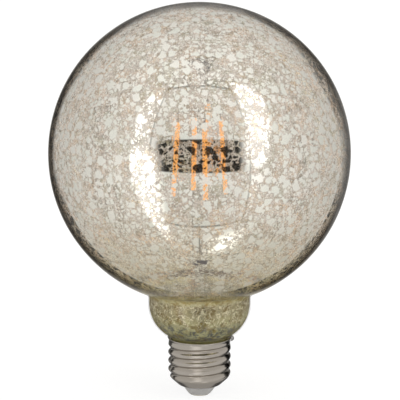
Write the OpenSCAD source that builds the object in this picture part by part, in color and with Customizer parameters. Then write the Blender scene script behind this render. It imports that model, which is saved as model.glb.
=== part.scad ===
// LED filament lamp: a blown glass globe on a screw cap, held up by its thread.
// The origin is the middle of the base contact, and +Z runs up the lamp's axis.

/* [Globe and neck] */
// Diameter of the glass globe
globe_d = 125; // [112:1:135]
// Thickness of the blown glass
glass_wall = 1.1; // [0.8:0.05:1.4]
// Radius of the neck
neck_r = 21.6; // [20:0.1:24]
// Fillet where the neck runs into the globe
neck_fillet = 4; // [2:0.1:6]
// Straight length of the neck between the fillet and the bowl
neck_straight = 2.1; // [0.5:0.1:8]
// Rounding of the bowl that closes the neck above the cap
bowl_r = 15.9; // [14:0.1:18]
// Length of the neck's tail inside the cap
tail_h = 5; // [4:0.1:6]
// How much the tail's radius narrows over its length
tail_taper = 1.4; // [1:0.1:1.8]

/* [Screw cap] */
// Height of the cap from the contact to the rim
cap_h = 25; // [24:0.1:28]
// Outside radius of the plain skirt
skirt_r = 13; // [12.8:0.05:13.4]
// Height of the plain skirt below its lip
skirt_h = 1.2; // [0.8:0.1:3]
// Thickness of the cap's sheet
cap_wall = 0.3; // [0.2:0.05:0.4]
// Height of the flared lip
lip_h = 0.9; // [0.5:0.1:1.4]
// How far the lip flares out
lip_flare = 0.45; // [0.2:0.05:0.8]
// Diameter over the crests of the thread
thread_d = 26.4; // [26:0.1:27]
// Pitch of the thread
thread_pitch = 3.629; // [3.2:0.1:4]
// Depth of the thread
thread_depth = 0.95; // [0.6:0.05:1.1]
// Rounding of the thread's crests and roots
thread_round = 1.025; // [0.9:0.025:1.1]
// Rounding of the shoulder below the thread
shoulder_round = 4.5; // [3.5:0.1:5.5]
// Slope of the cone below the shoulder, away from the axis
cone_angle = 46.5; // [42:0.5:50]
// Rounding of the turned-in base
toe_round = 2.5; // [2:0.1:3]
// Radius of the opening in the base
base_hole_r = 7.5; // [7:0.1:8.2]
// Height of the base above the contact
base_z = 4.33; // [3.5:0.1:5]

/* [Base plug and contact] */
// Radius of the plug's lower face
tip_r = 4.9; // [4.6:0.1:5.8]
// Height of the plug's flange inside the cap
flange_h = 1.5; // [1:0.1:2.5]
// Radius of the contact's head
contact_r = 4.3; // [3.5:0.1:4.5]
// Thickness of the contact's head
contact_t = 0.5; // [0.3:0.05:1]
// Radius of the contact's shank
shank_r = 1.25; // [0.8:0.05:1.8]
// Radius of the solder bead at the rim
solder_r = 1.3; // [1.1:0.05:1.7]

/* [Stem] */
// Radius of the stem's tube
stem_r = 4.6; // [4.3:0.1:5.5]
// Thickness of the stem's glass
stem_wall = 1; // [0.7:0.05:1.1]
// Rounding of the flare at the stem's foot
flare_round = 11; // [8:0.5:14]
// Height of the seal between the flare and the neck
seal_h = 2.2; // [1.5:0.1:3]
// Distance from the globe's centre down to the stem's press
press_drop = 46; // [42:0.5:50]
// Height of the press
press_h = 9; // [7:0.5:12]
// Thickness of the press
press_t = 3.4; // [3:0.1:4.5]
// Radius of the exhaust tube
exhaust_r = 2; // [1.6:0.1:2.1]
// Radius of the exhaust tube's bore
exhaust_bore_r = 0.9; // [0.6:0.1:1]
// Radius of the anchor rod
rod_r = 1.1; // [0.8:0.05:1.3]
// Radius of the button on top of the anchor rod
button_r = 2.3; // [1.9:0.1:3]

/* [Filaments] */
// Length of a filament's coat
coat_l = 30.8; // [24:0.2:36]
// Width of a filament's coat
coat_w = 2; // [1.4:0.1:2.6]
// Thickness of a filament's coat
coat_t = 1.6; // [1.2:0.1:2]
// Distance from the globe's centre down to the coat's foot
foot_drop = 17.4; // [14:0.2:20]
// Radius of the cage at the coats' feet
foot_r = 11.2; // [9:0.1:14]
// Radius of the cage at the coats' tops
top_r = 9.1; // [7:0.1:12]
// Turn of the cage about the axis
cage_turn = 13; // [0:1:30]
// Length of a filament's end tab
tab_l = 3.4; // [2:0.1:5]
// Width of an end tab
tab_w = 0.9; // [0.7:0.1:1.2]
// Thickness of an end tab
tab_t = 0.3; // [0.2:0.05:0.5]
// Radius of the wires in the globe
lead_r = 0.35; // [0.25:0.05:0.4]
// Distance of the lead wires from the axis
lead_x = 2.85; // [2.6:0.05:2.9]
// Length of the wires' ends that stand in line with a filament
wire_end_l = 1; // [0.6:0.1:2]

/* [Driver] */
// Width of the circuit board
board_w = 17; // [16.6:0.1:18]
// Height of the circuit board
board_h = 12.5; // [12.2:0.1:13]
// Thickness of the circuit board
board_t = 1; // [0.6:0.1:1.2]
// Distance of the board behind the axis
board_y = 1.2; // [1.1:0.1:1.6]
// Gap between the plug and the board
board_gap = 0.9; // [0.6:0.1:1.2]
// Diameter of the smoothing capacitor
capacitor_d = 6.3; // [5:0.1:6.5]
// Length of the smoothing capacitor
capacitor_l = 9; // [7:0.1:9.5]
// Diameter of the fuse resistor
fuse_d = 2.2; // [1.6:0.1:2.4]
// Length of the fuse resistor
fuse_l = 5.5; // [4:0.1:6]
// Diameter of the choke
choke_d = 5.5; // [4:0.1:5.6]
// Height of the choke
choke_h = 5; // [3:0.1:6]
// Radius of the live wire
live_r = 0.25; // [0.2:0.05:0.4]
// Radius of the neutral wire
neutral_r = 0.15; // [0.1:0.01:0.16]

/* [Hidden] */

filaments = 4;
touch = 0.02;       // clearance of pieces that lie against each other
past = 1;           // how far a cut runs past the face it opens
fine = 180;         // sides of large round forms
round_fn = 48;      // sides of small round forms

// Cap
thread_r = thread_d / 2;
skirt_in = skirt_r - cap_wall;
lip_z = cap_h - lip_h;
lip_in = skirt_in + lip_flare;
thread_top = lip_z - skirt_h;
shoulder_x = thread_r - shoulder_round;
toe_x = base_hole_r + 0.3;
toe_z = base_z + toe_round;
shoulder_z = toe_z + (cos(cone_angle) * (shoulder_x - toe_x) + shoulder_round - toe_round) / sin(cone_angle);
thread_foot = shoulder_z - shoulder_round * sin(cone_angle - 8);
weld = 0.03;        // how far the thread's end rings lie inside the walls that they run into
thread_wall = cap_wall - 3 * weld;
thread_cols = 40;
thread_rows = 44;
thread_in = (thread_r - thread_depth - thread_wall) * cos(180 / thread_cols);

// Neck
globe_r = globe_d / 2;
cement_t = 0.4;     // cement between the neck and the skirt
seat_gap = 0.07;    // gap between the cap's rim and the start of the neck's tail
tail_r = skirt_in - cement_t;
tail_z = cap_h + seat_gap;
tail_end = tail_z - tail_h;
bowl_x = neck_r - bowl_r;
bowl_z = tail_z + sqrt(bowl_r ^ 2 - (tail_r - bowl_x) ^ 2);
fillet_z = bowl_z + neck_straight;
fillet_at = [neck_r + neck_fillet, fillet_z];
globe_z = fillet_z + sqrt((globe_r + neck_fillet) ^ 2 - (neck_r + neck_fillet) ^ 2);
function tail_at(z) = tail_r - tail_taper * (tail_z - z) / tail_h;

// Stem
press_z = globe_z - press_drop;
press_top = press_z + press_h;
dome_z = press_z - stem_r;
seal_top = tail_end + seal_h;
seal_r = tail_at(seal_top) - glass_wall;
flare_top = seal_top + sqrt(flare_round ^ 2 - (flare_round - seal_r + stem_r) ^ 2);
bore_top = press_z + 1.6;
rod_foot = press_z + 4;
exhaust_tip = tail_end + 2;

// Filaments
tilt = asin((foot_r - top_r) / coat_l);
foot_z = globe_z - foot_drop;
function along(k, d) =
    let (a = cage_turn + 90 * k, r = foot_r - d * sin(tilt)) [r * cos(a), r * sin(a), foot_z + d * cos(tilt)];
arm_z = along(0, -tab_l - wire_end_l)[2];
hub_z = along(0, coat_l + tab_l + wire_end_l)[2];
hub_start = 1;      // distance of the top wires' inner ends from the axis

// Driver
plug_top = base_z + cap_wall + flange_h;
shank_top = plug_top - 0.9;
board_z = plug_top + board_gap;
board_top = board_z + board_h;
board_front = board_y - board_t / 2;
board_back = board_y + board_t / 2;
pad_x = 5;          // distance of the lead wires' pads from the axis
fuse_x = 6;
fuse_y = board_front - fuse_d / 2 - 0.3;
fuse_z = board_z + 1.9;
neutral_x = board_w / 2 - 0.8;

// A round wire through the given points, with a small bead at each bend. Its start is cut
// back like a bend where it branches from another wire's bead
module wire(points, r, branch = false) {
    last = len(points) - 1;
    cut_back = 0.3 * r;
    for (i = [1 : last]) {
        way = points[i] - points[i - 1];
        reach = norm(way);
        low = i > 1 || branch ? cut_back : 0;
        high = i < last ? cut_back : 0;
        translate(points[i - 1])
            rotate([0, acos(way[2] / reach), atan2(way[1], way[0])])
                translate([0, 0, low])
                    cylinder(h = reach - low - high, r = r, $fn = round_fn);
    }
    for (i = [1 : 1 : last - 1])
        translate(points[i])
            sphere(r = 1.06 * r, $fn = round_fn);
}

// The right half of the envelope's section, drawn in by the given distance
module envelope_region(inset) {
    below = inset > 0 ? past : 0;
    fill = 8;
    toward = ([0, globe_z] - fillet_at) / (globe_r + neck_fillet);
    translate([0, globe_z])
        circle(r = globe_r - inset, $fn = fine);
    translate([bowl_x, bowl_z])
        circle(r = bowl_r - inset, $fn = fine);
    polygon([[0, tail_end - below], [tail_at(tail_end - below) - inset, tail_end - below],
        [tail_r - inset, tail_z], [tail_r - inset, bowl_z], [neck_r - inset, bowl_z],
        [neck_r - inset, fillet_z], [0, globe_z]]);
    difference() {
        polygon([fillet_at, fillet_at + (neck_fillet + inset + fill) * toward,
            [neck_r - inset - fill, fillet_z]]);
        translate(fillet_at)
            circle(r = neck_fillet + inset, $fn = fine);
    }
}

module envelope_solid(inset) {
    rotate_extrude($fn = fine)
        difference() {
            envelope_region(inset);
            translate([-globe_d, -past])
                square([globe_d, 2 * globe_z]);
        }
}

module envelope() color([0.78, 0.75, 0.68, 0.6])
    rotate_extrude($fn = fine)
        difference() {
            envelope_region(0);
            envelope_region(glass_wall);
            translate([-globe_d, -past])
                square([globe_d, 2 * globe_z]);
        }

// The right half of the stem's section, drawn in by the given distance
module stem_region(inset) {
    below = inset > 0 ? past : 0;
    foot = tail_end - below;
    intersection() {
        union() {
            translate([0, dome_z])
                circle(r = stem_r - inset, $fn = fine);
            translate([0, flare_top - past])
                square([stem_r - inset, dome_z - flare_top + past]);
            difference() {
                polygon([[0, foot], [tail_at(foot) - glass_wall - inset, foot],
                    [seal_r - inset, seal_top], [stem_r, flare_top], [0, flare_top]]);
                translate([stem_r + flare_round, flare_top])
                    circle(r = flare_round + inset, $fn = fine);
            }
        }
        translate([0, foot])
            square([2 * neck_r, globe_z]);
    }
}

module stem_hollow() {
    rotate_extrude($fn = fine)
        stem_region(stem_wall);
}

module press_outline() {
    half = stem_r + 0.4;
    corner = 2;
    translate([-half, dome_z])
        square([2 * half, press_top - corner - dome_z]);
    translate([corner - half, dome_z])
        square([2 * (half - corner), press_top - dome_z]);
    for (side = [-1, 1])
        translate([side * (half - corner), press_top - corner])
            circle(r = corner, $fn = round_fn);
}

module stem() color([0.86, 0.88, 0.85, 0.7])
    difference() {
        union() {
            rotate_extrude($fn = fine)
                stem_region(0);
            translate([0, press_t / 2, 0])
                rotate([90, 0, 0])
                    linear_extrude(height = press_t)
                        press_outline();
        }
        stem_hollow();
        exhaust_bore();
        lead_wire(0);
        lead_wire(180);
        translate([0, 0, rod_foot])
            cylinder(h = press_h, r = rod_r, $fn = round_fn);
    }

// The bore of the exhaust tube, with the hole by which it opens into the globe
module exhaust_bore() {
    translate([0, 0, exhaust_tip + exhaust_r])
        cylinder(h = bore_top - exhaust_tip - exhaust_r, r = exhaust_bore_r, $fn = round_fn);
    translate([0, 0, bore_top - exhaust_bore_r])
        rotate([90, 0, 0])
            cylinder(h = press_t, r = 0.8 * exhaust_bore_r, $fn = round_fn);
}

module exhaust_tube() color([0.85, 0.88, 0.86, 0.7])
    difference() {
        intersection() {
            union() {
                translate([0, 0, exhaust_tip + exhaust_r])
                    sphere(r = exhaust_r, $fn = round_fn);
                translate([0, 0, exhaust_tip + exhaust_r])
                    cylinder(h = press_z - exhaust_tip, r = exhaust_r, $fn = round_fn);
            }
            stem_hollow();
        }
        exhaust_bore();
    }

module anchor_rod() color([0.9, 0.92, 0.9, 0.8])
    difference() {
        union() {
            translate([0, 0, rod_foot])
                cylinder(h = hub_z - rod_foot, r = rod_r, $fn = round_fn);
            translate([0, 0, hub_z])
                sphere(r = button_r, $fn = round_fn);
        }
        top_wire_set();
    }

// One top wire runs level from the button and turns down onto a filament's tab
module top_wire_set() {
    for (k = [0 : filaments - 1]) {
        a = cage_turn + 90 * k;
        wire([[hub_start * cos(a), hub_start * sin(a), hub_z],
            along(k, coat_l + tab_l + wire_end_l), along(k, coat_l + tab_l)], lead_r);
    }
}

module top_wires() color([0.7, 0.7, 0.68])
    top_wire_set();

// Places its children with +Z along filament k, from the foot of the coat
module on_filament(k) {
    rotate([0, 0, cage_turn + 90 * k])
        translate([foot_r, 0, foot_z])
            rotate([0, -tilt, 0])
                children();
}

module filament(k) color([0.95, 0.6, 0.25])
    on_filament(k)
        intersection() {
            cylinder(h = coat_l, d = coat_w, $fn = round_fn);
            translate([-coat_t / 2, -coat_w, -past])
                cube([coat_t, 2 * coat_w, coat_l + 2 * past]);
        }

module filament_tabs() color([0.75, 0.73, 0.68])
    for (k = [0 : filaments - 1], start = [-tab_l, coat_l])
        on_filament(k)
            translate([-tab_t / 2, -tab_w / 2, start])
                cube([tab_t, tab_w, tab_l]);

// A lead wire comes up from the board, passes the press and forks to two filaments
module lead_wire(turn) {
    pad_y = turn == 0 ? board_front - lead_r - touch : -(board_front - lead_r - touch);
    first = 3;      // the filament in front of the right-hand lead
    fork = [lead_x, 0, arm_z];
    rotate([0, 0, turn]) {
        wire([[pad_x, pad_y, board_top - 1.8], [pad_x, pad_y, board_top + 0.8],
            [lead_x, 0, flare_top - 3], fork,
            along(first, -tab_l - wire_end_l), along(first, -tab_l)], lead_r);
        wire([fork, along(first + 1, -tab_l - wire_end_l), along(first + 1, -tab_l)], lead_r, true);
    }
}

module lead_wire_right() color([0.68, 0.66, 0.62])
    lead_wire(0);

module lead_wire_left() color([0.68, 0.66, 0.62])
    lead_wire(180);

// The rolled thread's section: how deep the wall lies below the crests, at v from a groove
half_pitch = thread_pitch / 2;
flank_l = norm([half_pitch, 2 * thread_round - thread_depth]);
flank_angle = asin(2 * thread_round / flank_l) - atan2(2 * thread_round - thread_depth, half_pitch);
arc_half = thread_round * sin(flank_angle);
arc_drop = thread_round * (1 - cos(flank_angle));
function arc_at(u) = thread_round - sqrt(thread_round ^ 2 - u ^ 2);
function knuckle(v) =
    let (u = half_pitch - v)
    v <= arc_half ? thread_depth - arc_at(v)
    : u <= arc_half ? arc_at(u)
    : arc_drop + (thread_depth - 2 * arc_drop) * (u - arc_half) / (half_pitch - 2 * arc_half);

// A smooth step from 0 to 1
function step(x) = let (t = max(0, min(1, x))) t * t * (3 - 2 * t);

// The cap's radius at height z before the thread is rolled in
function plain_r(z) =
    z < shoulder_z
    ? shoulder_x + sqrt(shoulder_round ^ 2 - (z - shoulder_z) ^ 2)
        - weld * step((shoulder_z - z) / (shoulder_z - thread_foot))
    : thread_r - (thread_r - skirt_r + weld) * step((z - thread_top + 1.6) / 1.6);

// The groove starts on the right below the skirt, turns down as a right-handed screw,
// and runs out on the shoulder
groove_start = thread_top - 0.85;
groove_turns = (thread_top - thread_foot) / thread_pitch - 0.35;
fade_in = 0.3;
fade_out = 0.5;
end_fade = 0.8;
function groove(a, z) =
    let (turns = (groove_start - z) / thread_pitch + a / 360, k = round(turns), along_it = k - a / 360)
    knuckle(min(abs(turns - k) * thread_pitch, half_pitch))
        * step((along_it + 0.1) / fade_in) * step((groove_turns + 0.2 - along_it) / fade_out)
        * step((thread_top - z) / end_fade) * step((z - thread_foot) / end_fade);

function thread_ring(z, inset) =
    [for (j = [0 : thread_cols - 1])
        let (a = 360 * j / thread_cols, r = plain_r(z) - groove(a, z) - inset) [r * cos(a), r * sin(a), z]];

// A skin between two rings of points, split into triangles along its shorter way
function skin(first, turned) =
    [for (i = [0 : thread_rows - 1], j = [0 : thread_cols - 1], half = [0, 1])
        let (q = (j + 1) % thread_cols, a = first + i * thread_cols + j, b = first + i * thread_cols + q,
            c = b + thread_cols, d = a + thread_cols, face = half == 0 ? [a, d, c] : [a, c, b])
        turned ? [face[0], face[2], face[1]] : face];

module rolled_thread() {
    heights = [for (i = [0 : thread_rows]) thread_foot + (thread_top - thread_foot) * i / thread_rows];
    outer = [for (z = heights) each thread_ring(z, 0)];
    inner = [for (z = heights) each thread_ring(z, thread_wall)];
    inside = len(outer);
    last = thread_rows * thread_cols;
    ends = [for (j = [0 : thread_cols - 1])
        let (q = (j + 1) % thread_cols) each [[j, q, inside + q, inside + j],
            [last + j, inside + last + j, inside + last + q, last + q]]];
    polyhedron(concat(outer, inner), concat(skin(0, false), skin(inside, true), ends));
}

// The right half of the section below the thread, drawn in by the given distance
module base_region(inset) {
    normal = [cos(cone_angle), -sin(cone_angle)];
    intersection() {
        union() {
            translate([shoulder_x, shoulder_z])
                circle(r = shoulder_round - inset, $fn = fine);
            translate([toe_x, toe_z])
                circle(r = toe_round - inset, $fn = fine);
            polygon([[0, base_z + inset], [toe_x, base_z + inset], [toe_x, toe_z],
                [toe_x, toe_z] + (toe_round - inset) * normal,
                [shoulder_x, shoulder_z] + (shoulder_round - inset) * normal,
                [shoulder_x, shoulder_z], [0, shoulder_z]]);
        }
        square([2 * thread_r, thread_foot]);
    }
}

module skirt_section() {
    polygon([[skirt_in, thread_top], [skirt_r, thread_top], [skirt_r, lip_z],
        [skirt_r + lip_flare, cap_h - 0.2], [skirt_r + lip_flare, cap_h], [lip_in, cap_h],
        [skirt_in, lip_z + 0.1]]);
}

module cap_shell() color([0.72, 0.69, 0.63]) {
    rolled_thread();
    rotate_extrude($fn = fine) {
        skirt_section();
        difference() {
            base_region(0);
            base_region(cap_wall);
            square([base_hole_r, shoulder_z]);
        }
    }
}

module cap_insulator() color([0.75, 0.74, 0.73]) {
    dish_r = 5.4;
    dish_z = base_z - 1;
    rotate_extrude($fn = fine)
        difference() {
            union() {
                intersection() {
                    base_region(cap_wall);
                    square([thread_r, plug_top]);
                }
                polygon([[0, contact_t], [tip_r - 0.3, contact_t], [tip_r, contact_t + 0.3],
                    [base_hole_r - touch, base_z], [base_hole_r - touch, plug_top], [0, plug_top]]);
            }
            square([shank_r, shoulder_z]);
            polygon([[0, dish_z], [shank_r + 1.2, dish_z], [dish_r, plug_top + touch], [0, plug_top + touch]]);
        }
}

module centre_contact() color([0.78, 0.74, 0.66])
    rotate_extrude($fn = fine) {
        square([contact_r - contact_t, contact_t]);
        intersection() {
            translate([contact_r - contact_t, contact_t])
                circle(r = contact_t, $fn = round_fn);
            square([contact_r, contact_t]);
        }
        square([shank_r, shank_top]);
    }

module basing_cement() color([0.8, 0.78, 0.7]) {
    foot = tail_end + 0.4;
    inner_thread_r = thread_in - 0.05;
    difference() {
        rotate_extrude($fn = fine)
            polygon([[tail_at(foot), foot], [inner_thread_r, foot], [inner_thread_r, thread_top],
                [skirt_in, thread_top], [skirt_in, lip_z], [tail_at(lip_z), lip_z]]);
        wire(neutral_route, neutral_r);
    }
}

// The neutral wire leaves the board, climbs between glass and cap and turns over the rim
function between(z) = (tail_at(z) + skirt_in) / 2;
bead_x = skirt_r + 0.25;
bead_z = lip_z + 0.1;
neutral_route = [
    [neutral_x, board_front - neutral_r - touch, board_top - 6.5],
    [neutral_x, board_front - neutral_r - touch, board_top - 4],
    [(tail_at(tail_end) + thread_in) / 2, 0, tail_end - 0.2],
    [between(thread_top), 0, thread_top],
    [between(lip_z), 0, lip_z],
    [(tail_r + lip_in) / 2 + 0.02, 0, cap_h + 0.06],
    [lip_in + 0.15, 0, cap_h + neutral_r + 0.06],
    [skirt_r + lip_flare + neutral_r + 0.05, 0, cap_h + neutral_r + 0.06],
    [skirt_r + lip_flare + neutral_r + 0.05, 0, bead_z + 0.2]];

module side_solder() color([0.8, 0.8, 0.78])
    difference() {
        translate([bead_x, 0, bead_z])
            sphere(r = solder_r, $fn = fine);
        cylinder(h = cap_h + 2 * past, r = lip_in, $fn = fine);
        cylinder(h = lip_z + touch, r = skirt_r, $fn = fine);
        rotate_extrude($fn = fine)
            skirt_section();
        envelope_solid(-0.05);
        wire(neutral_route, neutral_r);
    }

module driver_board() color([0.2, 0.45, 0.3])
    translate([-board_w / 2, board_front, board_z])
        cube([board_w, board_t, board_h]);

module smoothing_capacitor() color([0.15, 0.15, 0.18]) {
    left = -board_w / 2 + 1.3;
    can_y = board_front - capacitor_d / 2 - touch;
    can_z = board_z + 4.8;
    crimp = 0.25;
    translate([left, can_y, can_z])
        rotate([0, 90, 0])
            rotate_extrude($fn = round_fn)
                difference() {
                    square([capacitor_d / 2, capacitor_l]);
                    translate([capacitor_d / 2, capacitor_l - 1.2])
                        circle(r = crimp, $fn = round_fn);
                }
    for (side = [-1, 1])
        wire([[left + capacitor_l, can_y, can_z + side * 1.25],
            [left + capacitor_l + 0.7, can_y, can_z + side * 1.25],
            [left + capacitor_l + 0.7, board_front, can_z + side * 1.25]], live_r);
}

// A flat component on the board's rear face, with its middle at x and z
module chip(x, z, size) {
    translate([x - size[0] / 2, board_back, z - size[2] / 2])
        cube(size);
}

module bridge_rectifier() color([0.1, 0.1, 0.1])
    chip(3.6, board_z + 8.8, [4.7, 2.5, 3.9]);

module driver_chip() color([0.1, 0.1, 0.1])
    chip(3.6, board_z + 3.4, [4.9, 1.5, 3.9]);

module choke() color([0.3, 0.28, 0.26])
    translate([-4.2, board_back, board_z + 6.8])
        rotate([-90, 0, 0])
            rotate_extrude($fn = round_fn)
                difference() {
                    square([choke_d / 2, choke_h]);
                    translate([choke_d / 2 - 0.5, 0.8])
                        square([choke_d, choke_h - 1.6]);
                }

module sense_resistors() color([0.12, 0.12, 0.12])
    for (x = [-6.6, -4.2, -1.8])
        chip(x, board_z + 1.6, [1.6, 0.5, 2]);

module ceramic_capacitor() color([0.75, 0.6, 0.42])
    chip(-4.2, board_top - 1.4, [3.2, 1.6, 1.6]);

module fuse_resistor() color([0.35, 0.6, 0.4]) {
    top = fuse_z + fuse_l;
    translate([fuse_x, fuse_y, fuse_z])
        cylinder(h = fuse_l, d = fuse_d, $fn = round_fn);
    wire([[fuse_x, fuse_y, top], [fuse_x, fuse_y, top + 0.7], [fuse_x, board_front, top + 0.7]], live_r);
}

module live_wire() color([0.8, 0.2, 0.15])
    wire([[0, 0, shank_top], [0, 0, shank_top + 0.6], [fuse_x, fuse_y, fuse_z - 0.8],
        [fuse_x, fuse_y, fuse_z]], live_r);

module neutral_wire() color([0.75, 0.5, 0.35])
    wire(neutral_route, neutral_r);

envelope();
stem();
exhaust_tube();
anchor_rod();
top_wires();
filament(0);  // filament_1
filament(1);  // filament_2
filament(2);  // filament_3
filament(3);  // filament_4
filament_tabs();
lead_wire_right();
lead_wire_left();
cap_shell();
cap_insulator();
centre_contact();
side_solder();
basing_cement();
driver_board();
smoothing_capacitor();
bridge_rectifier();
driver_chip();
choke();
fuse_resistor();
sense_resistors();
ceramic_capacitor();
live_wire();
neutral_wire();
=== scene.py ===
import math

import bpy
import numpy as np
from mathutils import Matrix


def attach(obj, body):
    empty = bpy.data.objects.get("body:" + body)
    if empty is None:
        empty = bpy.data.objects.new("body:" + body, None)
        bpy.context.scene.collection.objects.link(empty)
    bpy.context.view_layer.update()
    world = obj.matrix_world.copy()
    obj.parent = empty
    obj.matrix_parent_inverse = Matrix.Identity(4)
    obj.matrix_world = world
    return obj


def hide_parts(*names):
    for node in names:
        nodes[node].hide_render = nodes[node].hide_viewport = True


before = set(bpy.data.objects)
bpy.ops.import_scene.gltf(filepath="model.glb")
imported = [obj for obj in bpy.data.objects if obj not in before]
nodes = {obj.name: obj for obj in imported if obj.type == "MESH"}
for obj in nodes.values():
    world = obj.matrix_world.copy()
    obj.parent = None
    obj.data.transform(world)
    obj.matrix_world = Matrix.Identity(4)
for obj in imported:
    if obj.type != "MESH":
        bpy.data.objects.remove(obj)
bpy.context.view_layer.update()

MM = 0.001
scene = bpy.context.scene

# ---------------------------------------------------------------- camera and view
AIM = (0.00021, 0.0, 0.08343)
DISTANCE = 0.8
ELEVATION = math.radians(10.96)
LENS, SENSOR = 173.25, 36.0

camera = bpy.data.objects.new("camera", bpy.data.cameras.new("camera"))
scene.collection.objects.link(camera)
camera.location = (AIM[0], AIM[1] - DISTANCE * math.cos(ELEVATION), AIM[2] + DISTANCE * math.sin(ELEVATION))
camera.rotation_euler = (math.pi / 2 - ELEVATION, 0, 0)
camera.data.lens, camera.data.sensor_width = LENS, SENSOR
camera.data.clip_start, camera.data.clip_end = 0.05, 50
scene.camera = camera
scene.view_settings.view_transform = "Standard"


# ---------------------------------------------------------------- node helpers
class Tree:
    """Builds a node tree: each method adds a node and returns its output."""

    def __init__(self, owner):
        owner.use_nodes = True
        self.tree = owner.node_tree
        self.tree.nodes.clear()

    def add(self, kind, out=0, values=None, **props):
        node = self.tree.nodes.new(kind)
        for name, value in props.items():
            setattr(node, name, value)
        for name, value in (values or {}).items():
            socket = node.inputs[name]
            if isinstance(value, bpy.types.NodeSocket):
                self.tree.links.new(value, socket)
            elif isinstance(value, (tuple, list)) and len(value) == 3 and socket.type == "RGBA":
                socket.default_value = (*value, 1)
            else:
                socket.default_value = value
        return node.outputs[out]

    def math(self, operation, a, b=0.0, c=0.0, clamp=False):
        return self.add("ShaderNodeMath", values={0: a, 1: b, 2: c}, operation=operation, use_clamp=clamp)

    def mix(self, fac, a, b):
        node = self.tree.nodes.new("ShaderNodeMix")
        node.data_type = "RGBA"
        for key, value in ((0, fac), (6, a), (7, b)):
            if isinstance(value, bpy.types.NodeSocket):
                self.tree.links.new(value, node.inputs[key])
            elif key:
                node.inputs[key].default_value = (*value, 1)
            else:
                node.inputs[key].default_value = value
        return node.outputs[2]

    def shade(self, fac, a, b):
        return self.add("ShaderNodeMixShader", values={0: fac, 1: a, 2: b})

    def step(self, value, low, high, to_low=0.0, to_high=1.0):
        return self.add("ShaderNodeMapRange", values={"Value": value, "From Min": low, "From Max": high,
            "To Min": to_low, "To Max": to_high}, interpolation_type="SMOOTHSTEP")

    def ramp(self, value, low, high, to_low, to_high):
        return self.add("ShaderNodeMapRange", values={"Value": value, "From Min": low, "From Max": high,
            "To Min": to_low, "To Max": to_high})

    def bands(self, value, stops):
        """A colour that follows a value through the given stops."""
        low, high = stops[0][0], stops[-1][0]
        node = self.tree.nodes.new("ShaderNodeValToRGB")
        self.tree.links.new(self.ramp(value, low, high, 0.0, 1.0), node.inputs[0])
        marks = node.color_ramp.elements
        while len(marks) < len(stops):
            marks.new(0.5)
        for mark, (place, colour) in zip(marks, stops):
            mark.position = (place - low) / (high - low)
            mark.color = (*colour, 1)
        return node.outputs[0]

    def noise(self, at, size, detail=2.0, rough=0.5, out=0, distortion=0.0):
        return self.add("ShaderNodeTexNoise", out, {"Vector": at, "Scale": 1 / size, "Detail": detail,
            "Roughness": rough, "Distortion": distortion})

    def bump(self, height, strength, distance):
        return self.add("ShaderNodeBump", values={"Height": height, "Strength": strength, "Distance": distance})

    def place(self):
        return self.add("ShaderNodeTexCoord", 3)

    def principled(self, **values):
        names = {key.replace("_", " "): value for key, value in values.items()}
        return self.add("ShaderNodeBsdfPrincipled", values=names)

    def finish(self, surface, kind="ShaderNodeOutputMaterial"):
        self.add_output(surface, kind)

    def add_output(self, surface, kind):
        node = self.tree.nodes.new(kind)
        self.tree.links.new(surface, node.inputs["Surface"])


def material(name, build, alpha=False):
    made = bpy.data.materials.new(name)
    tree = Tree(made)
    tree.finish(build(tree))
    return made


# ---------------------------------------------------------------- the studio round the lamp
# Places in the studio are slopes seen from the lamp: sideways and upwards for each unit of depth
FRONT_SLOT = (-0.64, 0.63, -0.085, 0.365)
FRONT_PANEL = (-0.80, 0.80, -1.08, 1.85)
PANEL_INSIDE = (-0.76, 0.76, -1.02, 1.73)
LOW_GLINT = (0.30, 0.95, -2.8, -1.5)
LOW_SEAM = (-0.015, 0.015, -3.2, -1.1)
FLAG_LEFT = (-0.02, 3.0, -1.7, 0.36)
FLAG_RIGHT = (0.2, 1.02, -1.7, 0.45)
RIGHT_UPPER = (0.2, 1.0, 0.0, 0.45)
RIGHT_LOWER = (0.2, 1.0, -1.7, -0.42)
FLAG_TOP = (-0.3, 0.3, 0.05, 0.24)


def band(t, value, low, high, soft):
    return t.math("MULTIPLY", t.step(value, low - soft, low + soft), t.step(value, high - soft, high + soft, 1, 0))


def window(t, u, v, sides, soft):
    return t.math("MULTIPLY", band(t, u, sides[0], sides[1], soft), band(t, v, sides[2], sides[3], soft))


def left_strip(t, u, v):
    """A softbox on the left, strong below the lamp's middle and faint above it."""
    outer = t.math("ADD", t.ramp(v, -1.5, -0.3, 0.46, 0.0), t.ramp(v, -0.3, 1.8, -1.28, -1.5))
    inner = t.ramp(v, 0.1, 0.3, -0.66, -0.88)
    outside, inside = t.math("SUBTRACT", u, outer), t.math("SUBTRACT", inner, u)
    across = t.math("MULTIPLY", t.step(outside, -0.04, 0.08), t.step(inside, -0.2, 0.18))
    up = t.math("MULTIPLY", t.step(v, -2.3, -1.0), t.step(v, 1.4, 1.9, 1.0, 0.0))
    return t.math("MULTIPLY", t.math("MULTIPLY", across, up), t.step(v, 0.12, 0.4, 1.9, 0.75))


def right_strip(t, u, v):
    """A softbox on the right, strong above the lamp's middle and faint below it."""
    outer = t.math("ADD", t.ramp(v, -0.9, 0.0, -0.4, 0.0), t.ramp(v, 0.0, 2.4, 1.22, 2.2))
    inner = t.ramp(v, 0.0, 2.0, 0.69, 0.92)
    inside, outside = t.math("SUBTRACT", u, inner), t.math("SUBTRACT", outer, u)
    across = t.math("MULTIPLY", t.step(inside, -0.08, 0.2), t.step(outside, -0.25, 0.25))
    up = t.math("MULTIPLY", t.step(v, -1.1, -0.3), t.step(v, 2.0, 2.6, 1.0, 0.0))
    return t.math("MULTIPLY", t.math("MULTIPLY", across, up), t.step(v, -0.06, 0.2, 0.3, 1.9))


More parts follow.
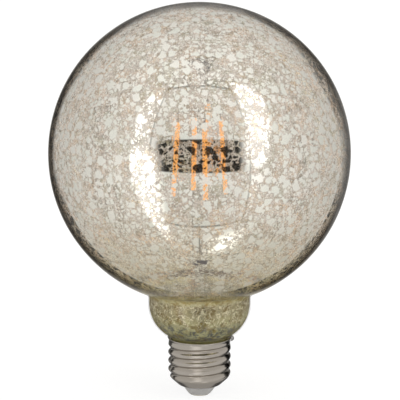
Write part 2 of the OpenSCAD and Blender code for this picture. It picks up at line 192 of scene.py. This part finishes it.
def build_world():
    world = bpy.data.worlds.new("studio")
    scene.world = world
    t = Tree(world)
    way = t.add("ShaderNodeSeparateXYZ", values={0: t.add("ShaderNodeTexCoord", 0)})
    x, y, z = way, way.node.outputs[1], way.node.outputs[2]
    depth = t.math("MAXIMUM", t.math("ABSOLUTE", y), 0.001)
    u, v = t.math("DIVIDE", x, depth), t.math("DIVIDE", z, depth)
    front = t.math("LESS_THAN", y, 0.0)
    behind = t.math("SUBTRACT", 1.0, front)

    def dim(level, mask, by):
        return t.math("MULTIPLY", level, t.math("MULTIPLY_ADD", mask, -by, 1.0))

    level = t.step(y, -0.9, 0.9, 0.98, 0.60)
    level = t.math("ADD", level, t.step(z, 0.3, 0.95, 0.0, 0.2))
    level = dim(level, t.step(z, -0.4, -0.95), 0.15)
    seam = t.math("SUBTRACT", window(t, u, v, FRONT_PANEL, 0.012), window(t, u, v, PANEL_INSIDE, 0.012))
    seam = t.math("MAXIMUM", seam, window(t, u, v, LOW_SEAM, 0.01))
    level = dim(level, t.math("MULTIPLY", front, seam), 0.66)
    level = dim(level, t.math("MULTIPLY", front, window(t, u, v, PANEL_INSIDE, 0.012)), 0.12)
    slot = t.math("MULTIPLY", band(t, u, FRONT_SLOT[0], FRONT_SLOT[1], 0.08), band(t, v, FRONT_SLOT[2],
        FRONT_SLOT[3], 0.012))
    level = dim(level, t.math("MULTIPLY", front, slot), 0.985)
    glint = t.math("MULTIPLY", window(t, u, v, LOW_GLINT, 0.3), 1.0)
    for lit in (left_strip(t, u, v), right_strip(t, u, v), glint):
        level = t.math("MULTIPLY_ADD", front, lit, level)
    across = t.math("POWER", t.math("DIVIDE", u, 1.05), 2.0)
    down = t.math("POWER", t.math("DIVIDE", t.math("MINIMUM", t.math("ADD", v, 0.2), 0.0), 1.3), 2.0)
    oval = t.math("MULTIPLY_ADD", t.math("LESS_THAN", v, -0.2), across, down)
    above = t.math("MULTIPLY", behind, t.step(oval, 0.92, 1.02, 1.0, 0.0))
    from_left = t.math("SUBTRACT", u, t.ramp(v, -0.6, -0.25, -1.02, -0.64))
    left = t.math("MULTIPLY", window(t, from_left, v, FLAG_LEFT, 0.10), t.step(u, -0.35, -0.1, 1.0, 0.0))
    level = dim(level, t.math("MULTIPLY", above, left), 0.86)
    for sides, by in ((FLAG_RIGHT, 0.4), (RIGHT_UPPER, 0.6), (RIGHT_LOWER, 0.80), (FLAG_TOP, 0.5)):
        level = dim(level, t.math("MULTIPLY", above, window(t, u, v, sides, 0.10)), by)
    rule = t.math("MULTIPLY", band(t, oval, 0.96, 1.06, 0.02), t.step(v, -1.0, -0.8, 1.0, 0.0))
    level = dim(level, t.math("MULTIPLY", behind, rule), 0.5)
    seen = t.add("ShaderNodeLightPath", "Is Camera Ray")
    seen = t.math("MAXIMUM", seen, seen.node.outputs["Is Transmission Ray"])
    level = t.math("MAXIMUM", t.math("MULTIPLY", level, t.math("SUBTRACT", 1.0, seen)), seen)
    t.finish(t.add("ShaderNodeBackground", values={"Color": (1, 1, 1), "Strength": level}), "ShaderNodeOutputWorld")


def build_reflection_card():
    """A glowing card that slopes down and away from the cap's rim, out of the picture, seen only in reflections.

    The cap's metal shows it as a painted reflection: black at both sides, pale in front with a brighter part left
    of the middle. It is clear from above, where the globe would show it.
    """
    top, rim, near, far, slope = 0.027, 0.0145, 0.0165, 0.14, 0.9
    first, last, steps = -200, 28, 76

    def surface(t):
        x = t.add("ShaderNodeSeparateXYZ", values={0: t.place()})
        turn = t.math("ARCTAN2", x, t.math("MULTIPLY", x.node.outputs[1], -1.0))
        # painted reflection for the cap: black at both sides and brighter left of the middle; the card is hidden
        # from the camera, diffuse light and shadows
        black = t.math("MAXIMUM", t.step(turn, 1.50, 1.62), t.step(turn, -1.72, -1.60, 1.0, 0.0))
        level = t.math("MULTIPLY_ADD", band(t, turn, -0.34, 0.06, 0.16), 0.45, 0.80)
        level = t.math("MULTIPLY", level, t.math("SUBTRACT", 1.0, black))
        glow = t.add("ShaderNodeEmission", values={"Color": (1, 1, 1), "Strength": level})
        clear = t.add("ShaderNodeBsdfTransparent", values={"Color": (1, 1, 1)})
        return t.shade(t.add("ShaderNodeNewGeometry", "Backfacing"), glow, clear)

    mesh = bpy.data.meshes.new("glow_card")
    turns = np.radians(np.linspace(first, last, steps + 1))
    points = [(r * math.cos(a), r * math.sin(a), top - slope * (r - rim)) for r in (near, far) for a in turns]
    ring = steps + 1
    mesh.from_pydata(points, [], [(i, i + 1, ring + i + 1, ring + i) for i in range(steps)])
    mesh.materials.append(material("painted_cap_reflection", surface))
    glow_card = bpy.data.objects.new("glow_card", mesh)
    scene.collection.objects.link(glow_card)
    glow_card.visible_camera = glow_card.visible_diffuse = glow_card.visible_shadow = glow_card.visible_transmission = False


def build_floor():
    half = 6.0
    mesh = bpy.data.meshes.new("floor")
    mesh.from_pydata([(-half, -half, 0), (half, -half, 0), (half, half, 0), (-half, half, 0)], [], [(0, 1, 2, 3)])
    floor = bpy.data.objects.new("floor", mesh)
    scene.collection.objects.link(floor)
    floor.location = (0, 0, -0.0001)
    floor.visible_glossy = False

    def surface(t):
        seen = t.add("ShaderNodeLightPath", 0)
        pale = t.add("ShaderNodeBsdfDiffuse", values={"Color": (0.8, 0.79, 0.77)})
        lit = t.add("ShaderNodeBsdfDiffuse", values={"Color": (0.25, 0.25, 0.25)})
        glow = t.add("ShaderNodeEmission", values={"Color": (1, 1, 1), "Strength": 0.83})
        return t.shade(seen, pale, t.add("ShaderNodeAddShader", values={0: lit, 1: glow}))

    mesh.materials.append(material("pale_floor", surface))


build_world()
build_floor()
build_reflection_card()


# ---------------------------------------------------------------- materials
def clear_face(t):
    """The outer face: clear head on, with a soft reflection, and darker where the glass is seen edge on, a painted
    shade along the globe's rim.
    """
    place = t.place()
    facing = t.add("ShaderNodeLayerWeight", 1, {"Blend": 0.5})
    z = t.add("ShaderNodeSeparateXYZ", 2, {0: place})
    globe = t.step(z, 0.0465, 0.053)
    broken = t.step(t.noise(place, 0.006, 3.0, 0.6), 0.38, 0.6, 0.62, 1.0)
    # painted shade: the globe's rim is tinted dark where the glass is seen edge on
    ring = t.math("MULTIPLY", t.math("MULTIPLY", t.step(facing, 0.67, 0.82), globe), broken)
    edge = t.mix(t.step(z, 0.055, 0.085, 1, 0), (0.27, 0.245, 0.21), (0.31, 0.27, 0.175))
    painted_rim_tint = t.mix(ring, (1, 1, 1), edge)
    painted_rim_tint = t.mix(t.step(facing, 0.88, 0.97), painted_rim_tint, (0.62, 0.60, 0.54))
    clear = t.add("ShaderNodeBsdfTransparent", values={"Color": painted_rim_tint})
    gloss = t.add("ShaderNodeBsdfGlossy", values={"Color": (1, 1, 1), "Roughness": 0.02})
    least = t.math("MULTIPLY_ADD", globe, 0.085, 0.035)
    return t.shade(t.math("MULTIPLY_ADD", t.math("POWER", facing, 5.0), 0.3, least), clear, gloss)


def flakes(t, at, size, keep, low, high, round_out=0.6):
    """Rounded flakes about one size apart. Gives their mask and each flake's own random number."""
    values = {"Vector": at, "Scale": 1 / size, "Randomness": 1.0}
    edge = t.add("ShaderNodeTexVoronoi", "Distance", values, feature="DISTANCE_TO_EDGE")
    cell = t.add("ShaderNodeTexVoronoi", "Color", values, feature="F1")
    pick = t.add("ShaderNodeSeparateColor", values={0: cell})
    kept = t.math("GREATER_THAN", pick, keep)
    disc = t.step(cell.node.outputs["Distance"], round_out - 0.12, round_out, 1.0, 0.0)
    mask = t.math("MULTIPLY", t.step(edge, low, high), disc)
    return t.math("MULTIPLY", mask, kept), pick.node.outputs[1]


def squiggles(t, at, size, width):
    """Thin wandering lines: the places where a noise crosses its middle."""
    away = t.math("ABSOLUTE", t.math("SUBTRACT", t.noise(at, size, 2.0, 0.6, 0, 0.6), 0.5))
    return t.step(away, width * 0.4, width, 1.0, 0.0)


def neck_coat(t, at, z):
    """Olive glass under a thin, rubbed coat, with pale yellow and dark wandering lines."""
    cloud = t.noise(at, 0.0035, 4.0, 0.65)
    patch = t.step(t.noise(at, 0.0045, 3.0, 0.6), 0.44, 0.54)
    base = t.mix(patch, (0.26, 0.195, 0.065), (0.43, 0.40, 0.265))
    # Colour multiplied by height: partly the coat's own bands, partly painted light that brightens the glass at the
    # fillet and at the bottom of the neck, where it faces down
    shade = t.bands(z, [(0.024, (0.9, 0.9, 0.6)), (0.029, (1.40, 1.46, 1.16)), (0.0355, (1.0, 1.0, 0.74)),
        (0.0385, (0.76, 0.70, 0.54)), (0.0425, (0.76, 0.68, 0.52)), (0.0447, (2.0, 2.0, 1.8)),
        (0.047, (1.9, 1.9, 1.8))])
    colour = t.add("ShaderNodeVectorMath", values={0: base, 1: shade}, operation="MULTIPLY")
    film = t.principled(Base_Color=colour, Metallic=1.0, Roughness=0.5, Normal=t.bump(cloud, 0.3, 0.0005))
    clear = t.add("ShaderNodeBsdfTransparent", values={"Color": (0.84, 0.80, 0.60)})
    cover = t.math("MULTIPLY", t.step(cloud, 0.3, 0.62, 0.5, 0.88), t.step(z, 0.032, 0.038, 0.8, 1.0))
    body = t.shade(cover, clear, film)
    pale = t.principled(Base_Color=(0.93, 0.86, 0.60), Roughness=0.5)
    fine = t.math("MULTIPLY", squiggles(t, at, 0.0013, 0.014), 0.7)
    lines = t.math("MAXIMUM", squiggles(t, at, 0.0027, 0.030), fine)
    lines = t.math("MULTIPLY", lines, t.step(z, 0.030, 0.037))
    lines = t.math("MULTIPLY", lines, t.step(z, 0.0425, 0.0445, 0.7, 0.1))
    body = t.shade(lines, body, pale)
    dark = t.principled(Base_Color=(0.035, 0.04, 0.035), Roughness=0.5)
    lines = t.math("MULTIPLY", squiggles(t, at, 0.0034, 0.055), t.step(z, 0.0315, 0.035, 0.9, 0.0))
    body = t.shade(lines, body, dark)
    rim = t.principled(Base_Color=(0.52, 0.48, 0.20), Roughness=0.4)
    return t.shade(t.step(z, 0.0252, 0.0268, 0.85, 0.0), body, rim)


def low_marks(t, at, x, z):
    """Dark marks low on the globe: a broken arch over the neck, a painted reflection of a dark ring, and two dark
    spots above it.
    """
    flat = t.add("ShaderNodeVectorMath", values={0: at, 1: (0.5, 1, 1.2)}, operation="MULTIPLY")
    arch_paint = t.noise(flat, 0.0007, 1.0, 0.6)
    arch = t.math("MULTIPLY_ADD", t.math("MULTIPLY", x, x), 21.0, z)
    arch = t.math("MULTIPLY", band(t, arch, 0.0622, 0.0653, 0.0009), band(t, x, -0.0125, 0.0145, 0.004))
    arch = t.math("MULTIPLY", arch, t.step(arch_paint, 0.50, 0.56, 0.0, 0.9))
    spots = t.math("MULTIPLY", band(t, x, -0.0023, 0.0036, 0.0008), band(t, z, 0.0674, 0.0697, 0.0005))
    spots = t.math("MULTIPLY", spots, t.step(t.noise(at, 0.0019, 2.0, 0.6), 0.44, 0.50))
    return arch, spots


def mirror_coat(t):
    place = t.place()
    wobble = t.noise(place, 0.0016, 2.0, 0.6, 1)
    wobble = t.add("ShaderNodeVectorMath", values={0: wobble, 1: (0.5, 0.5, 0.5)}, operation="SUBTRACT")
    wobble = t.add("ShaderNodeVectorMath", values={0: wobble, "Scale": 0.0018}, operation="SCALE")
    at = t.add("ShaderNodeVectorMath", values={0: place, 1: wobble}, operation="ADD")
    z = t.add("ShaderNodeSeparateXYZ", 2, {0: place})
    low = t.step(z, 0.045, 0.10, 1, 0)
    zone = t.step(t.noise(place, 0.022, 2.0), 0.35, 0.65)
    zone = t.math("MAXIMUM", zone, t.step(z, 0.055, 0.088, 1, 0))
    large, tone = flakes(t, at, 0.0042, t.math("MULTIPLY_ADD", zone, 0.55, 0.15), 0.09, 0.16, 0.55)
    middle, tone_b = flakes(t, at, 0.0021, t.math("MULTIPLY_ADD", zone, -0.2, 0.5), 0.07, 0.20, 0.6)
    small, tone_c = flakes(t, at, 0.0010, 0.42, 0.10, 0.32, 0.7)
    flake = t.math("MAXIMUM", large, t.math("MAXIMUM", middle, small))
    cream = t.mix(tone, (0.885, 0.85, 0.765), (0.825, 0.82, 0.725))
    cream = t.mix(t.math("MULTIPLY", low, 0.85), cream, (0.75, 0.67, 0.47))
    mirror = t.principled(Base_Color=cream, Metallic=1.0, Roughness=0.04)
    foot = t.step(z, 0.049, 0.070, 1, 0)
    clear = t.mix(foot, (0.93, 0.885, 0.82), (0.90, 0.84, 0.66))
    clear = t.add("ShaderNodeBsdfTransparent", values={"Color": clear})
    speck = t.step(t.noise(at, 0.0008, 3.0, 0.65), 0.42, 0.60)
    brown = t.mix(low, (0.54, 0.455, 0.375), (0.50, 0.42, 0.27))
    brown = t.mix(foot, brown, (0.58, 0.50, 0.31))
    hue = t.noise(place, 0.008, 3.0, 0.6)
    brown = t.mix(t.step(hue, 0.51, 0.62, 0.0, 0.8), brown, (0.70, 0.48, 0.32))
    brown = t.mix(t.step(hue, 0.36, 0.48, 0.8, 0.0), brown, (0.53, 0.52, 0.37))
    facing = t.add("ShaderNodeLayerWeight", 1, {"Blend": 0.5})
    # Darker, denser stain where the coat is seen edge on: partly the film's longer path, partly painted shade along
    # the rim
    edge = t.mix(foot, (0.20, 0.17, 0.125), (0.26, 0.215, 0.12))
    brown = t.mix(t.step(facing, 0.6, 0.9), brown, edge)
    stain = t.principled(Base_Color=brown, Metallic=0.3, Roughness=0.5)
    edge_density_and_shade = t.step(facing, 0.5, 0.95, 0.0, 0.8)
    dense = t.math("MAXIMUM", t.math("MULTIPLY_ADD", speck, 0.36, 0.20), edge_density_and_shade)
    ground = t.shade(dense, clear, stain)
    glint = t.principled(Base_Color=(0.96, 0.70, 0.40), Metallic=1.0, Roughness=0.25)
    spark = t.math("MULTIPLY", t.step(t.noise(at, 0.0009, 1.0), 0.57, 0.63), t.step(hue, 0.52, 0.60))
    ground = t.shade(t.math("MULTIPLY", spark, t.step(z, 0.060, 0.110, 0.8, 0.25)), ground, glint)
    globe = t.shade(t.math("MULTIPLY", flake, 0.93), ground, mirror)
    front = t.math("LESS_THAN", z.node.outputs[1], 0.0)
    # painted on the front half only: the dark arch as a painted reflection of a dark ring, and two dark spots
    arch, spots = low_marks(t, at, z.node.outputs[0], z)
    arch_paint = t.principled(Base_Color=(0.13, 0.07, 0.012), Roughness=0.6)
    globe = t.shade(t.math("MULTIPLY", arch, front), globe, arch_paint)
    spot_paint = t.principled(Base_Color=(0.045, 0.022, 0.006), Roughness=0.6)
    globe = t.shade(t.math("MULTIPLY", spots, front), globe, spot_paint)
    coat = t.shade(t.step(z, 0.0465, 0.0505, 1, 0), globe, neck_coat(t, at, z))
    crust = t.principled(Base_Color=(0.13, 0.095, 0.045), Roughness=0.6)
    line = t.math("MULTIPLY", band(t, z, 0.0464, 0.0474, 0.0003), t.step(t.noise(at, 0.003, 3.0, 0.6), 0.36, 0.56))
    return t.shade(t.math("MULTIPLY", line, 0.85), coat, crust)


def nickel(t):
    at = t.place()
    cloud = t.noise(at, 0.006, 3.0, 0.6)
    level = t.add("ShaderNodeVectorMath", values={0: at, 1: (1, 1, 0)}, operation="MULTIPLY")
    radius = t.add("ShaderNodeVectorMath", 1, {0: level}, operation="LENGTH")
    # darker in the thread's roots and on the base below the thread: partly dirt, partly painted shade in the
    # recesses
    groove_dirt_and_shade = t.step(radius, 0.0121, 0.0132, 1, 0)
    colour = t.mix(cloud, (0.42, 0.38, 0.335), (0.48, 0.44, 0.385))
    colour = t.mix(t.math("MULTIPLY", groove_dirt_and_shade, 0.4), colour, (0.30, 0.26, 0.21))
    drawn = t.noise(t.add("ShaderNodeVectorMath", values={0: at, 1: (1, 1, 12)}, operation="MULTIPLY"), 0.004, 2.0)
    rough = t.step(cloud, 0.3, 0.7, 0.15, 0.20)
    return t.principled(Base_Color=colour, Metallic=1.0, Roughness=rough, Normal=t.bump(drawn, 0.02, 0.0001))


def phosphor(t):
    cloud = t.noise(t.place(), 0.0011, 3.0, 0.6)
    colour = t.mix(cloud, (0.92, 0.36, 0.05), (1.0, 0.50, 0.12))
    # painted glow: the phosphor emits its own colour although the lamp is off
    return t.principled(Base_Color=colour, Roughness=0.45, Emission_Color=colour, Emission_Strength=1.0,
        Normal=t.bump(cloud, 0.3, 0.0002))


def clear_glass(t):
    """Thin clear glass: seen through head on, and with a gloss along its edges."""
    streak = t.noise(t.place(), 0.003, 2.0)
    clear = t.add("ShaderNodeBsdfTransparent", values={"Color": t.mix(streak, (0.975, 0.98, 0.97), (0.99, 0.99, 0.985))})
    gloss = t.principled(Base_Color=(0.85, 0.86, 0.84), Roughness=0.03, IOR=1.5,
        Normal=t.bump(streak, 0.1, 0.0003))
    facing = t.add("ShaderNodeLayerWeight", 1, {"Blend": 0.5})
    return t.shade(t.math("MULTIPLY_ADD", t.math("POWER", facing, 5.0), 0.5, 0.02), clear, gloss)


def metal(dark, light, low=0.15, high=0.3, size=0.0015):
    def build(t):
        cloud = t.noise(t.place(), size, 3.0)
        return t.principled(Base_Color=t.mix(cloud, dark, light), Metallic=1.0,
            Roughness=t.step(cloud, 0.3, 0.7, low, high), Normal=t.bump(cloud, 0.1, 0.0001))
    return build


def solid(dark, light, low=0.35, high=0.5, size=0.001, depth=0.00005):
    def build(t):
        cloud = t.noise(t.place(), size, 4.0, 0.6)
        return t.principled(Base_Color=t.mix(cloud, dark, light), Roughness=t.step(cloud, 0.3, 0.7, low, high),
            Normal=t.bump(cloud, 0.25, depth))
    return build


LOOKS = {
    "clear_glass": (clear_glass, ["stem", "anchor_rod"]),
    "pale_glass": (solid((0.80, 0.80, 0.75), (0.88, 0.88, 0.84), 0.08, 0.15, 0.002), ["exhaust_tube"]),
    "lead_metal": (metal((0.60, 0.57, 0.53), (0.78, 0.75, 0.70)), ["top_wires", "filament_tabs", "lead_wire_right",
        "lead_wire_left"]),
    "phosphor": (phosphor, ["filament_1", "filament_2", "filament_3", "filament_4"]),
    "base_plug": (solid((0.58, 0.57, 0.56), (0.68, 0.67, 0.66)), ["cap_insulator"]),
    "contact_metal": (metal((0.55, 0.50, 0.40), (0.72, 0.67, 0.56)), ["centre_contact"]),
    "solder": (metal((0.26, 0.25, 0.24), (0.42, 0.41, 0.39), 0.3, 0.45), ["side_solder"]),
    "cement": (solid((0.52, 0.47, 0.36), (0.68, 0.63, 0.52), 0.8, 0.95), ["basing_cement"]),
    "circuit_board": (solid((0.03, 0.12, 0.06), (0.05, 0.19, 0.10)), ["driver_board"]),
    "capacitor_sleeve": (solid((0.01, 0.01, 0.014), (0.03, 0.03, 0.04), 0.2, 0.3), ["smoothing_capacitor"]),
    "black_moulding": (solid((0.010, 0.010, 0.010), (0.025, 0.025, 0.025), 0.5, 0.65), ["bridge_rectifier",
        "driver_chip", "sense_resistors"]),
    "ferrite": (solid((0.03, 0.028, 0.026), (0.06, 0.055, 0.05), 0.6, 0.8), ["choke"]),
    "resistor_coat": (solid((0.06, 0.19, 0.10), (0.10, 0.27, 0.15)), ["fuse_resistor"]),
    "ceramic_body": (solid((0.36, 0.22, 0.10), (0.50, 0.33, 0.17)), ["ceramic_capacitor"]),
    "wire_cover": (solid((0.40, 0.015, 0.01), (0.52, 0.03, 0.02), 0.25, 0.35), ["live_wire"]),
    "copper_wire": (metal((0.55, 0.24, 0.12), (0.72, 0.36, 0.20)), ["neutral_wire"]),
}


# ---------------------------------------------------------------- pieces
def new_piece(name, points, faces, materials, picks, body, node, sharp=35):
    mesh = bpy.data.meshes.new(name)
    mesh.from_pydata(points, [], faces)
    for made in materials:
        mesh.materials.append(made)
    mesh.polygons.foreach_set("material_index", picks)
    mesh.polygons.foreach_set("use_smooth", [True] * len(faces))
    mesh.set_sharp_from_angle(angle=math.radians(sharp))
    mesh.update()
    piece = bpy.data.objects.new(name, mesh)
    scene.collection.objects.link(piece)
    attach(piece, body)
    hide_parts(node)
    return piece


def arc(centre, radius, start, end, count):
    return [(centre[0] + radius * math.cos(a), centre[1] + radius * math.sin(a))
        for a in np.linspace(math.radians(start), math.radians(end), count)]


def turned(section, count):
    """A ring of points for each point of the section, and the faces between rings. The section is a closed loop."""
    turn = np.linspace(0, 2 * math.pi, count, endpoint=False)
    points = [(r * math.cos(a) * MM, r * math.sin(a) * MM, z * MM) for r, z in section for a in turn]
    faces = []
    rings = len(section)
    for i in range(rings):
        a, b = i * count, (i + 1) % rings * count
        faces += [(a + j, a + (j + 1) % count, b + (j + 1) % count, b + j) for j in range(count)]
    return points, faces


GLOBE_R, NECK_R, BOWL_R, FILLET = 62.47, 21.6, 15.9, 4.0
TAIL_R, TAIL_Z, TAIL_END, TAPER = 12.3, 25.07, 20.07, 1.4
BOWL_X = NECK_R - BOWL_R
BOWL_Z = TAIL_Z + math.sqrt(BOWL_R ** 2 - (TAIL_R - BOWL_X) ** 2)
FILLET_Z = BOWL_Z + 2.1
GLOBE_Z = FILLET_Z + math.sqrt((GLOBE_R + FILLET) ** 2 - (NECK_R + FILLET) ** 2)


def envelope_side(inset_neck, inset_globe):
    """One face of the glass from its foot to the top of the globe."""
    meet = math.degrees(math.atan2(FILLET_Z - GLOBE_Z, NECK_R + FILLET))
    foot = [(TAIL_R - TAPER - inset_neck, TAIL_END), (TAIL_R - inset_neck, TAIL_Z - 0.01)]
    start = -math.degrees(math.acos((TAIL_R - BOWL_X) / BOWL_R))
    bowl = arc((BOWL_X, BOWL_Z), BOWL_R - inset_neck, start, 0, 26)
    fillet = arc((NECK_R + FILLET, FILLET_Z), FILLET + inset_neck, 180, 180 + meet, 14)
    globe = arc((0, GLOBE_Z), GLOBE_R - inset_globe, meet, 90, 120)
    return foot + bowl + fillet, globe


def build_globe():
    outer_low, outer_globe = envelope_side(0.0, 0.0)
    neck_inset, globe_inset = 0.45, 0.12
    inner_low, inner_globe = envelope_side(neck_inset, globe_inset)
    blend = len(inner_globe) // 24
    for i in range(blend):
        part = i / blend
        part = part * part * (3 - 2 * part)
        r, z = inner_globe[i]
        extra = (1 - part) * (neck_inset - globe_inset)
        away = math.atan2(z - GLOBE_Z, r)
        inner_globe[i] = (r - extra * math.cos(away), z - extra * math.sin(away))
    outer = outer_low + outer_globe
    inner = inner_low + inner_globe
    outer[-1] = (0.0001, outer[-1][1])
    inner[-1] = (0.0001, inner[-1][1])
    section = outer + inner[::-1]
    count = 240
    points, faces = turned(section, count)
    cut = len(outer)
    picks = [0 if i // count < cut - 1 or i // count == len(section) - 1 else 1 for i in range(len(faces))]
    faces = [f[::-1] for f in faces] if faces_point_in(points, faces, count) else faces
    return new_piece("globe_glass", points, faces, [material("clear_outer_face", clear_face),
        material("mirrored_glass", mirror_coat)], picks, "root", "envelope")


def faces_point_in(points, faces, count):
    """True if the first outer faces look towards the axis."""
    a, b, c = (np.array(points[faces[60 * count][k]]) for k in (0, 1, 2))
    normal = np.cross(b - a, c - a)
    return normal[:2] @ a[:2] < 0


def smooth(x):
    x = np.clip(x, 0, 1)
    return x * x * (3 - 2 * x)


THREAD_R, PITCH, DEPTH, ROUND = 13.2, 3.629, 0.95, 1.025
SKIRT_R, CAP_H, LIP_Z, THREAD_TOP = 13.0, 25.0, 24.1, 22.9
SHOULDER_X, SHOULDER_ROUND, TOE_X, TOE_ROUND, BASE_Z, CAP_WALL = 8.7, 4.5, 7.8, 2.5, 4.33, 0.3
CONE = math.radians(46.5)
TOE_Z = BASE_Z + TOE_ROUND
SHOULDER_Z = TOE_Z + (math.cos(CONE) * (SHOULDER_X - TOE_X) + SHOULDER_ROUND - TOE_ROUND) / math.sin(CONE)
THREAD_FOOT = SHOULDER_Z - SHOULDER_ROUND * math.sin(CONE - math.radians(8))


def knuckle(v):
    """How deep the thread lies below its crests, at v from the middle of a groove."""
    half = PITCH / 2
    flank = math.hypot(half, 2 * ROUND - DEPTH)
    angle = math.asin(2 * ROUND / flank) - math.atan2(2 * ROUND - DEPTH, half)
    reach, drop = ROUND * math.sin(angle), ROUND * (1 - math.cos(angle))
    dip = lambda w: ROUND - np.sqrt(np.maximum(ROUND ** 2 - w ** 2, 0))
    w = half - v
    middle = drop + (DEPTH - 2 * drop) * (w - reach) / (half - 2 * reach)
    return np.where(v <= reach, DEPTH - dip(v), np.where(w <= reach, dip(w), middle))


def cap_radius(turn, z):
    """The cap's outer radius in the threaded part, for an angle in turns and a height."""
    low = SHOULDER_X + np.sqrt(np.maximum(SHOULDER_ROUND ** 2 - (z - SHOULDER_Z) ** 2, 0))
    high = THREAD_R - (THREAD_R - SKIRT_R) * smooth((z - THREAD_TOP + 1.6) / 1.6)
    plain = np.where(z < SHOULDER_Z, low, high)
    turns = (THREAD_TOP - 0.85 - z) / PITCH + turn
    near = np.round(turns)
    along = near - turn
    length = (THREAD_TOP - THREAD_FOOT) / PITCH - 0.35
    depth = knuckle(np.minimum(np.abs(turns - near) * PITCH, PITCH / 2))
    fade = smooth((along + 0.1) / 0.3) * smooth((length + 0.2 - along) / 0.5)
    fade = fade * smooth((THREAD_TOP - z) / 0.8) * smooth((z - THREAD_FOOT) / 0.8)
    return plain - depth * fade


def build_cap():
    count, rows = 240, 190
    turn = np.arange(count) / count
    rings = []

    def plain(r, z):
        rings.append((np.full(count, r), np.full(count, z)))

    def below(inset):
        """The base from its opening out to the foot of the thread."""
        found = [(7.5, BASE_Z + inset)]
        found += arc((TOE_X, TOE_Z), TOE_ROUND - inset, -90, -math.degrees(CONE), 12)
        found += arc((SHOULDER_X, SHOULDER_Z), SHOULDER_ROUND - inset, -math.degrees(CONE),
            -math.degrees(CONE) + 8, 4)[:-1]
        return found

    for r, z in below(0):
        plain(r, z)
    for z in np.linspace(THREAD_FOOT, THREAD_TOP, rows):
        rings.append((cap_radius(turn, np.full(count, z)), np.full(count, z)))
    for r, z in [(SKIRT_R, THREAD_TOP + 0.02), (SKIRT_R, 23.5), (SKIRT_R, LIP_Z), (13.2, 24.42), (13.38, 24.7),
            (13.45, 24.85), (13.44, 24.95), (13.38, CAP_H), (13.22, CAP_H), (13.15, 24.96), (12.95, 24.6),
            (12.7, 24.2), (12.7, THREAD_TOP)]:
        plain(r, z)
    for z in np.linspace(THREAD_TOP, THREAD_FOOT, 60):
        rings.append((cap_radius(turn, np.full(count, z)) - CAP_WALL + 0.02, np.full(count, z)))
    for r, z in below(CAP_WALL)[::-1]:
        plain(r, z)
    points, faces = [], []
    for r, z in rings:
        points += [(a * math.cos(2 * math.pi * s) * MM, a * math.sin(2 * math.pi * s) * MM, b * MM)
            for a, b, s in zip(r, z, turn)]
    total = len(rings)
    for i in range(total):
        a, b = i * count, (i + 1) % total * count
        faces += [(a + j, a + (j + 1) % count, b + (j + 1) % count, b + j) for j in range(count)]
    return new_piece("screw_cap", points, faces, [material("nickel_cap", nickel)], [0] * len(faces), "root",
        "cap_shell", 50)


for slot, (build, members) in LOOKS.items():
    made = material(slot, build)
    for member in members:
        nodes[member].data.materials.clear()
        nodes[member].data.materials.append(made)

build_globe()
build_cap()
